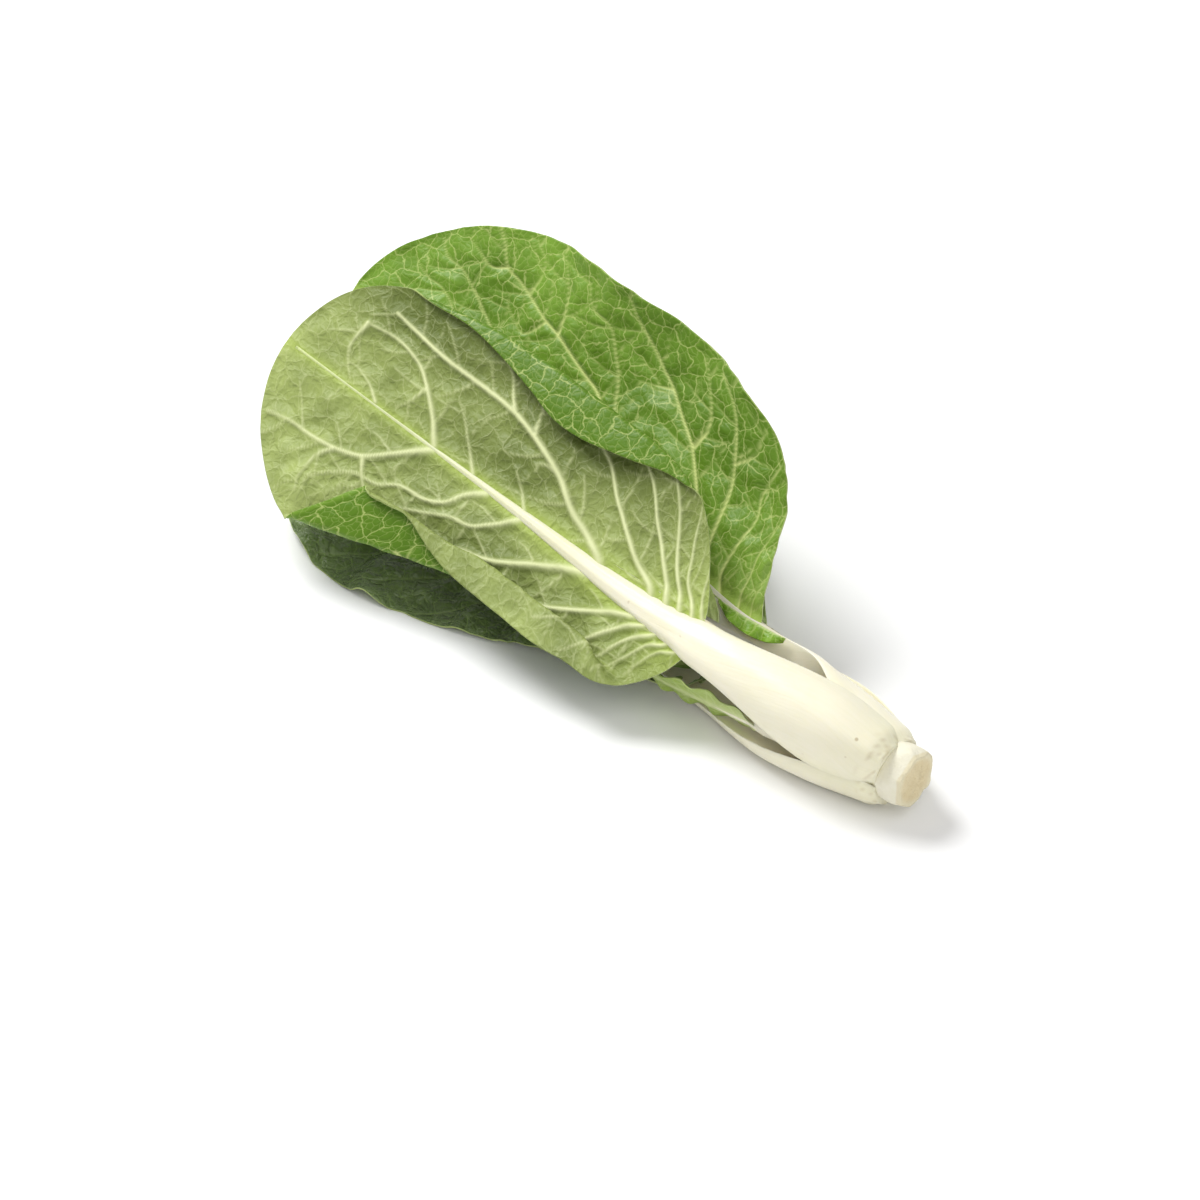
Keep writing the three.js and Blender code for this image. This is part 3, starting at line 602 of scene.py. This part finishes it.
def veinsOf(leaf, length):
    # segments as rows of (x0, y0, x1, y1, width0, width1), y positive to the right
    rng = np.random.default_rng(leaf["seed"] + 1)
    segments = []

    def branch(x, y, heading, turn, reach, width):
        steps = max(3, int(reach / 2.5))
        for k in range(steps):
            angle = heading + turn * k / steps + rng.normal(0, 3)
            nx = x + reach / steps * math.cos(angle * degree)
            ny = y + reach / steps * math.sin(angle * degree)
            fade = 1 - 0.6 * k / steps
            segments.append((x, y, nx, ny, width * fade, width * (fade - 0.6 / steps)))
            x, y = nx, ny

    for width, points in leaf.get("veins") or lateralsOf(leaf, length):
        width = width * leaf.get("veinScale", 1)
        x0, y0 = points[0]
        if 2 < abs(y0) < 12:
            points = [(x0 - 0.45 * abs(y0), 0.3 * y0)] + points
        line = steadied(points)
        fades = np.linspace(1, 0.35, len(line)) * (1 + 0.8 * np.exp(-np.arange(len(line)) / 3))
        gap, side = rng.uniform(4, 8), rng.choice((-1, 1))
        for k in range(len(line) - 1):
            (x0, y0), (x1, y1) = line[k], line[k + 1]
            segments.append((x0, y0, x1, y1, width * fades[k], width * fades[k + 1]))
            gap -= math.hypot(x1 - x0, y1 - y0)
            if gap < 0:
                heading = math.atan2(y1 - y0, x1 - x0) / degree
                thin = min(0.7, 0.24 + 0.18 * width * fades[k])
                branch(x1, y1, heading + side * rng.uniform(50, 68), -side * rng.uniform(10, 35),
                       rng.uniform(10, 18), thin)
                gap, side = rng.uniform(6, 11), -side
    return np.array(segments)


def veinField(x, y, segments):
    # how strongly a vein is drawn and raised at each point, and how far the nearest one is in mm
    strength = np.zeros(len(x))
    relief = np.zeros(len(x))
    nearest = np.full(len(x), 99.0)
    for x0, y0, x1, y1, w0, w1 in segments:
        pad = 7.0
        box = ((x > min(x0, x1) - pad) & (x < max(x0, x1) + pad)
               & (y > min(y0, y1) - pad) & (y < max(y0, y1) + pad))
        spots = np.nonzero(box)[0]
        if not len(spots):
            continue
        dx, dy = x1 - x0, y1 - y0
        t = np.clip(((x[spots] - x0) * dx + (y[spots] - y0) * dy) / (dx * dx + dy * dy + 1e-9), 0, 1)
        gap = np.hypot(x[spots] - x0 - t * dx, y[spots] - y0 - t * dy)
        width = mix(w0, w1, t)
        drawn = np.exp(-((gap / (0.36 * width + 0.2)) ** 2)) * np.clip(width / 1.35 + 0.1, 0, 1)
        raised = np.exp(-((gap / (0.55 * width + 0.45)) ** 2)) * np.clip(0.68 * width, 0.1, 1.5)
        strength[spots] = np.maximum(strength[spots], drawn)
        relief[spots] = np.maximum(relief[spots], raised)
        nearest[spots] = np.minimum(nearest[spots], gap)
    return strength, relief, nearest


def paintedShadeAt(leaf, side, v, s):
    # painted shade on a leaf, in darker spots of side, place along, place across in mm, reach along,
    # reach across and strength
    paintedShade = np.zeros(len(v))
    for spotSide, along, across, reachV, reachS, strength in leaf["shade"]:
        if spotSide == side:
            fade = ((v - along) / reachV) ** 2 + ((s - across) / reachS) ** 2
            paintedShade = np.maximum(paintedShade, strength * np.exp(-fade))
    return paintedShade


def thicken(piece, thickness, back, face):
    # a sheet with its back, its face and its rim in materials of their own
    for material in (back, face, leafRim):
        piece.data.materials.append(material)
    shell = piece.modifiers.new("thickness", "SOLIDIFY")
    shell.thickness = thickness * mm
    shell.offset = 0
    shell.material_offset = 1
    shell.material_offset_rim = 2


def makeBlade(leaf, back, face):
    foot = leaf["foot"]
    fine = np.linspace(foot, 1, 60)
    spine = lineAt(leaf, fine)[0]
    length = np.linalg.norm(np.diff(spine, axis=0), axis=1).sum()
    segments = veinsOf(leaf, length)

    def place(fx, fy):
        # rows of the grid run from the foot to the tip, columns from the left margin to the right
        rowAt = np.unique(np.round(fy, 6), return_inverse=True)[1]
        rows = rowAt.max() + 1
        t = np.arange(rows) / (rows - 1)
        v = 0.5 - 0.4995 * mix(1 - 2 * t, np.cos(math.pi * t), 0.35)
        u = mix(foot, 1, v)
        spot, tangent, out, right = lineAt(leaf, u)
        signed = 2 * fx - 1
        side = (signed < 0).astype(int)
        points = np.zeros((len(fx), 3))
        flat = np.zeros((len(fx), 2))
        marks = np.zeros((len(fx), 3))
        half = alongStalk(leaf, "stalkHalf", u)
        for k in (0, 1):
            mine = np.nonzero(side == k)[0]
            share = np.abs(signed[mine])
            # sorted steps outwards from the midrib, so that the curve across the blade can be summed up
            steps = np.unique(np.round(share, 6))
            if steps[0] > 1e-5:
                steps = np.insert(steps, 0, 0.0)
            width = halfWidth(leaf, k, v)
            s = width[:, None] * steps[None, :]
            middle = (s[:, 1:] + s[:, :-1]) / 2
            gap = np.diff(s, axis=1)
            folds = foldsOf(leaf, k, v)
            span = np.minimum(foldRadius * 2.8, 0.07 * width)[:, None]

            def angleAt(at):
                angle = leaf["cup"][k] * (at / 50) ** 2
                for where, turn in folds:
                    angle = angle + turn[:, None] * np.clip((at - where[:, None]) / span + 0.5, 0, 1)
                return angle * degree

            turnHere = angleAt(middle)
            zero = np.zeros((rows, 1))
            across = np.hstack([zero, np.cumsum(np.cos(turnHere) * gap, axis=1)])
            rise = np.hstack([zero, np.cumsum(np.sin(turnHere) * gap, axis=1)])
            column = np.searchsorted(steps, np.round(share, 6))
            r = rowAt[mine]
            sHere = s[r, column]
            turned = angleAt(s)[r, column]
            sign = 1 if k == 0 else -1
            x, y = v[r] * length, sign * sHere
            drawn, raised, gapToVein = veinField(x, y, segments)
            clear = smooth((sHere - half[r] - 2) / 7)
            rim = smooth((width[r] - sHere) / leaf["ruffleReach"])
            pillow = 1.35 * (1 - np.exp(-((gapToVein / 4.5) ** 2))) * clear
            f = sHere / leaf["width"][k]
            swing = 2 * math.pi * leaf["waves"] * v[r] + leaf["wavePhase"] + 2 * k
            wave = leaf["waveHeight"] * f**2.2 * np.sin(swing)
            crinkle = softNoise(x, y, 19, leaf["seed"] + 3)
            crinkle = crinkle + leaf["pucker"] * softNoise(x, y, 7, leaf["seed"] + 4)
            edge = softNoise(x, sign * 40 + 0 * y, 10, leaf["seed"] + 5)
            edge = edge + 0.3 * softNoise(x, sign * 40 + 0.4 * y, 5, leaf["seed"] + 6)
            ruffle = leaf["ruffle"] * edge * (1 - rim) ** 1.3
            fillet = 1.3 * np.exp(-((np.maximum(0, sHere - half[r] - 1) / 2.4) ** 2)) * (1 - v[r]) ** 0.7
            lift = raised * np.clip(sHere / 6, 0, 1) - pillow + crinkle * clear + fillet + 0.7 * clear
            lift = np.maximum(lift, -0.35 - 2.2 * smooth((v[r] - 0.3) / 0.3) - 2.2 * smooth((sHere - 26) / 8))
            if folds:
                still = smooth((folds[0][0][r] - sHere) / 6)
                wave = wave * still
                lift = lift * mix(0.3, 1, still)
            else:
                lift = lift + ruffle
            lift = lift + wave
            a = across[r, column] - lift * np.sin(turned)
            h = rise[r, column] + lift * np.cos(turned)
            points[mine] = spot[r] + right[r] * (sign * a)[:, None] + out[r] * h[:, None]
            flat[mine] = np.column_stack([x, y]) / 100
            beside = np.maximum(0, sHere - half[r])
            nearRib = np.exp(-beside / (1.2 + 5 * (1 - v[r]) ** 3)) * (0.9 - 0.3 * v[r])
            youngBase = 0.55 * (1 - smooth(v[r] / 0.22)) * np.exp(-beside / 22)
            marks[mine, 0] = drawn
            # green mark: painted shade in darker spots
            marks[mine, 1] = paintedShadeAt(leaf, k, v[r], sHere) if "shade" in leaf else 0
            # painted shade over the margin turned past the fold
            if folds and "foldShade" in leaf:
                past = smooth((sHere - folds[0][0][r]) / 3)
                if len(folds) > 1:
                    past = past * (1 - smooth((sHere - folds[1][0][r] + 2) / 3))
                marks[mine, 1] = mix(marks[mine, 1], leaf["foldShade"], past)
                if len(folds) > 1:
                    marks[mine, 1] *= 1 - smooth((sHere - folds[1][0][r]) / 3)
            marks[mine, 2] = np.clip(np.maximum(nearRib, youngBase), 0, 1)
        low = bladeHalf + settle
        under = points[:, 2] < low
        points[under, 2] = low + settle * (np.exp((points[under, 2] - low) / settle) - 1)
        return points, flat, marks

    mesh = gridMesh(leaf["node"] + "_blade_skin", leaf["columns"], leaf["rows"], place)
    piece = addPiece(mesh, leaf["node"] + "_blade_skin", leaf["node"] + "_blade")
    thicken(piece, skinThickness, back, face)
    print(leaf["node"], "blade", len(mesh.polygons), "faces,", len(segments), "vein steps")


def makeStalk(leaf):
    around, rings = 44, 150
    foot = leaf["foot"]

    def place(fx, fy):
        u = 0.985 * fy**1.15
        spot, tangent, out, right = lineAt(leaf, u)
        turn = 2 * math.pi * fx
        half = alongStalk(leaf, "stalkHalf", u)
        thick = alongStalk(leaf, "stalkThick", u)
        opened = 1 - smooth(u / (foot * 0.92))
        seat = bladeHalf + midribGap
        dome = np.abs(np.sin(turn)) ** 0.85 * np.sign(np.sin(turn))
        tucked = smooth((u - foot * 0.95) / 0.05)
        across = half * (1 - 0.14 * tucked) * np.cos(turn)
        rise = np.where(dome > 0, thick * dome, 0.12 * thick * opened * dome)
        sink = smooth((u - foot * 0.9) / (foot * 0.2)) * (seat + 0.2)
        wrapped = leaf["wrap"] * opened * np.cos(turn) ** 2
        # the foot of the stalk rounds in towards the stem
        root = 1 - 0.32 * (1 - smooth(u / 0.03)) ** 2
        grooves = 0.16 * np.sin(9 * turn + 2 * np.sin(u * 9)) * smooth(thick / 6) * smooth(np.sin(turn) * 2)
        bumps = 0.25 * softNoise(u * 260, turn * 9, 16, leaf["seed"] + 8) * smooth(thick / 5)
        lift = seat - sink + (rise + grooves + bumps) * root - wrapped * root
        points = spot + right * (across * root)[:, None] + out * lift[:, None]
        points[:, 2] = np.maximum(points[:, 2], 0.0)
        uv = np.column_stack([fx * half * 4.2, u * 290]) / 100
        marks = np.zeros((len(fx), 3))
        edges = smooth((np.abs(np.cos(turn)) - 0.75) / 0.25)
        marks[:, 0] = 0.2 * (1 - smooth(u / 0.10)) + 0.2 * edges * opened
        marks[:, 0] += 0.3 * smooth((u - foot) / 0.4)
        flecks = smooth((softNoise(u * 290, fx * 90, 0.9, leaf["seed"] + 9) - 0.35) / 0.3)
        marks[:, 1] = 0.32 * flecks * (1 - smooth((u - 0.012) / 0.02))
        marks[:, 2] = 0.9 * smooth((u - foot - 0.1) / (0.95 - foot)) ** 1.2
        return points, uv, marks

    name = leaf["node"] + "_stalk_skin"
    mesh = gridMesh(name, around, rings, place)
    bm = bmesh.new()
    bm.from_mesh(mesh)
    bmesh.ops.remove_doubles(bm, verts=bm.verts, dist=0.00001)
    bmesh.ops.holes_fill(bm, edges=[e for e in bm.edges if e.is_boundary], sides=0)
    bmesh.ops.recalc_face_normals(bm, faces=bm.faces)
    bm.to_mesh(mesh)
    bm.free()
    addPiece(mesh, name, leaf["node"] + "_stalk")
    mesh.materials.append(stalkSkin)
    print(leaf["node"], "stalk", len(mesh.polygons), "faces")


# The trimmed stub

stub = {"radius": 10.5, "length": 34, "turns": 72, "trims": 6, "seed": 8}


def cutMaterial():
    material = bpy.data.materials.new("stemCut")
    material.use_nodes = True
    tree = material.node_tree
    skin = tree.nodes["Principled BSDF"]
    place = addNode(tree, "ShaderNodeTexCoord").outputs["Object"]
    centre = (-cutEndX * mm, -stemY * mm, -stemZ * mm)
    moved = addNode(tree, "ShaderNodeMapping", {"Vector": place, "Location": centre}).outputs[0]
    axes = addNode(tree, "ShaderNodeSeparateXYZ", {0: moved})
    radial = addNode(tree, "ShaderNodeVectorMath",
                     {0: moved, 1: (0.0, 1.0, 1.0)}, operation="MULTIPLY")
    reach = addNode(tree, "ShaderNodeVectorMath", {0: radial.outputs[0]}, operation="LENGTH").outputs["Value"]
    cloud = noiseValue(tree, place, 260.0, 4.0, 0.6)
    grain = noiseValue(tree, place, 1300.0, 3.0, 0.6)
    onFace = ramped(tree, axes.outputs[0], -0.0019, -0.0011)
    ring = calc(tree, "MULTIPLY", ramped(tree, reach, 0.0072, 0.0092), onFace)
    pith = mixColour(tree, cloud, (0.64, 0.53, 0.30, 1), (0.76, 0.66, 0.43, 1))
    pith = mixColour(tree, ramped(tree, grain, 0.55, 0.75), pith, (0.58, 0.46, 0.24, 1))
    rind = mixColour(tree, cloud, (0.78, 0.74, 0.55, 1), (0.86, 0.83, 0.70, 1))
    colour = mixColour(tree, onFace, rind, pith)
    colour = mixColour(tree, calc(tree, "MULTIPLY", ring, 0.6), colour, (0.78, 0.74, 0.55, 1))
    relief = addNode(tree, "ShaderNodeBump", {"Height": calc(tree, "ADD", cloud, grain)})
    relief.inputs["Strength"].default_value = 0.45
    relief.inputs["Distance"].default_value = 0.0006
    tree.links.new(colour, skin.inputs["Base Color"])
    tree.links.new(relief.outputs["Normal"], skin.inputs["Normal"])
    skin.inputs["Roughness"].default_value = 0.6
    return material


def makeStub():
    profile = [(0, 0), (0.3, 0), (0.6, 0), (0.8, 0), (0.93, 0), (1, 0.015), (1.03, 0.05), (1.04, 0.1),
               (1.03, 0.2), (0.99, 0.34), (0.6, 0.7), (0.25, 0.95)]
    bm = bmesh.new()
    points = [bm.verts.new((cutEndX - t * stub["length"], stemY, stemZ + r * stub["radius"]))
              for r, t in profile]
    chain = [bm.edges.new((a, b)) for a, b in zip(points, points[1:])]
    bmesh.ops.spin(bm, geom=points + chain, cent=(cutEndX, stemY, stemZ), axis=(1, 0, 0),
                   angle=2 * math.pi, steps=stub["turns"], use_merge=True)
    bmesh.ops.remove_doubles(bm, verts=bm.verts, dist=0.001)
    bmesh.ops.subdivide_edges(bm, edges=bm.edges, cuts=1, use_grid_fill=True)
    bmesh.ops.holes_fill(bm, edges=[e for e in bm.edges if e.is_boundary], sides=0)
    rng = np.random.default_rng(stub["seed"])
    # knife trims: each cuts a slanted facet at the rim, so that the cut face has corners
    for k in range(stub["trims"]):
        turn = 2 * math.pi * (k + rng.uniform(-0.28, 0.28)) / stub["trims"]
        slant = rng.uniform(0.25, 0.5)
        out = Vector((slant, math.cos(turn), math.sin(turn))).normalized()
        limit = stub["radius"] * rng.uniform(0.82, 0.93) / math.hypot(1, slant)
        for vert in bm.verts:
            gap = (vert.co - Vector((cutEndX, stemY, stemZ))).dot(out) - limit
            if gap > 0 and vert.co.x > cutEndX - 12:
                vert.co -= out * gap
    # the dents are drawn in order of place, because the order of the points varies from run to run
    for vert in sorted(bm.verts, key=lambda vert: tuple(round(c, 4) for c in vert.co)):
        if vert.co.x > cutEndX - 12:
            dent = rng.uniform(-0.12, 0.12) + 0.35 * math.sin(vert.co.y * 0.9) * math.cos(vert.co.z * 0.7)
            vert.co.x += min(0, dent - 0.25)
    bmesh.ops.scale(bm, vec=(mm, mm, mm), verts=bm.verts)
    bmesh.ops.recalc_face_normals(bm, faces=bm.faces)
    mesh = bpy.data.meshes.new("stem_cut")
    bm.to_mesh(mesh)
    bm.free()
    addPiece(mesh, "stem_cut", "stem_base")
    mesh.materials.append(cutMaterial())
    print("stub", len(mesh.polygons), "faces")


# The frilled end of the rear blade, which runs down the edge of its stalk

frill = {"from": 0.28, "to": 0.43, "reach": 6, "waves": 4.2, "seed": 91, "thickness": 0.5}


def makeFrill():
    def place(fx, fy):
        u = mix(frill["from"], frill["to"], fy)
        spot, tangent, out, right = lineAt(leafRear, u)
        half = alongStalk(leafRear, "stalkHalf", u)
        spread = frill["reach"] * np.sin(np.clip(fy * 1.15 + 0.06, 0, 1) * math.pi) ** 0.6 * fx
        turn = 2 * math.pi * frill["waves"] * fy
        wave = 1.5 * fx**1.5 * np.sin(turn + 1.2 * fx)
        wave = wave + 0.5 * fx * softNoise(fy * 40, fx * 6, 4, frill["seed"])
        side = -(half * mix(1.05, 0.5, fy)) + spread * 0.85
        opened = 1 - smooth(u / (leafRear["foot"] * 0.92))
        lift = -2.2 - leafRear["wrap"] * 0.9 * opened - 0.35 * spread + wave
        points = spot + right * side[:, None] + out * lift[:, None]
        marks = np.zeros((len(fx), 3))
        marks[:, 0] = 0.7 * np.exp(-((np.abs(((fy * 9 + 0.5 * fx) % 1) - 0.5) / 0.07) ** 2)) * (1 - fx)
        marks[:, 2] = 0.8 * (1 - smooth(fx / 0.25))
        return points, np.column_stack([fy * 50, fx * 7]) / 100, marks

    mesh = gridMesh("leaf_rear_frill", 20, 110, place)
    piece = addPiece(mesh, "leaf_rear_frill", "leaf_rear_blade")
    thicken(piece, frill["thickness"], youngBack, youngFace)
    print("frill", len(mesh.polygons), "faces")


makeStub()
makeFrill()
for leaf in (leafFront, leafRear):
    makeStalk(leaf)
    makeBlade(leaf, leafBack, leafFace)
for leaf in (leafFar, leafUnder):
    makeStalk(leaf)
    makeBlade(leaf, deepBack, deepFace)
for leaf in (leafInnerUpper, leafInnerLower, leafHeart):
    makeStalk(leaf)
    makeBlade(leaf, youngBack, youngFace)


# The set: a pale surface, soft light and the camera

view = {"azimuth": 39, "elevation": 40, "lens": 250, "pixelSize": 0.35, "framePixels": 1200,
        "stub": (905, 775), "middle": (600, 600)}       # the long lens keeps the far leaf tips full size


def cameraAxes():
    a, e = view["azimuth"] * degree, view["elevation"] * degree
    right = Vector((math.cos(a), math.sin(a), 0))
    away = Vector((-math.sin(a), math.cos(a), 0))
    up = away * math.sin(e) + Vector((0, 0, 1)) * math.cos(e)
    back = -away * math.cos(e) + Vector((0, 0, 1)) * math.sin(e)
    return right, away, up, back


def makeCamera():
    right, away, up, back = cameraAxes()
    stubAt = Vector((cutEndX - 5, stemY, stemZ)) * mm
    reach = view["framePixels"] * view["pixelSize"] * mm * view["lens"] / 36
    # the stub is in front of the middle of the head
    nearer = (stubAt - Vector((0, 0, 30 * mm))).dot(back)
    shrink = (reach - nearer) / reach * view["pixelSize"] * mm
    dx = (view["middle"][0] - view["stub"][0]) * shrink
    dy = (view["stub"][1] - view["middle"][1]) * shrink
    aim = stubAt - back * nearer + right * dx + up * dy
    data = bpy.data.cameras.new("camera")
    data.lens = view["lens"]
    data.sensor_width = 36
    camera = bpy.data.objects.new("camera", data)
    camera.location = aim + back * reach
    camera.rotation_mode = "QUATERNION"
    camera.rotation_quaternion = (-back).to_track_quat("-Z", "Y")
    bpy.context.collection.objects.link(camera)
    bpy.context.scene.camera = camera


def addLight(name, place, size, power, colour=(1, 1, 1)):
    data = bpy.data.lights.new(name, "AREA")
    data.shape = "DISK"
    data.size = size
    data.energy = power
    data.color = colour
    light = bpy.data.objects.new(name, data)
    light.location = place
    light.rotation_mode = "QUATERNION"
    light.rotation_quaternion = (-Vector(place)).to_track_quat("-Z", "Y")
    bpy.context.collection.objects.link(light)


def makeSet():
    right, away, up, back = cameraAxes()
    bm = bmesh.new()
    bmesh.ops.create_grid(bm, x_segments=8, y_segments=8, size=3.0)
    mesh = bpy.data.meshes.new("surface")
    bm.to_mesh(mesh)
    bm.free()
    surface = bpy.data.objects.new("surface", mesh)
    bpy.context.collection.objects.link(surface)
    material = bpy.data.materials.new("paleSurface")
    material.use_nodes = True
    skin = material.node_tree.nodes["Principled BSDF"]
    skin.inputs["Base Color"].default_value = (0.93, 0.93, 0.93, 1)
    skin.inputs["Roughness"].default_value = 0.7
    skin.inputs["Specular IOR Level"].default_value = 0.2
    mesh.materials.append(material)
    world = bpy.data.worlds.new("studio")
    world.use_nodes = True
    world.node_tree.nodes["Background"].inputs["Color"].default_value = (1, 1, 1, 1)
    world.node_tree.nodes["Background"].inputs["Strength"].default_value = 0.45
    bpy.context.scene.world = world
    up3 = Vector((0, 0, 1))
    addLight("key", (-right * 0.55 + away * 0.45 + up3 * 1.0) * 1.1, 0.7, 17)
    addLight("fill", (back * 1.2 + right * 0.5 + up3 * 0.3), 1.4, 8)
    bpy.context.scene.view_settings.view_transform = "Standard"
    bpy.context.scene.view_settings.exposure = 0.0


makeCamera()
makeSet()
print("camera and lights set")
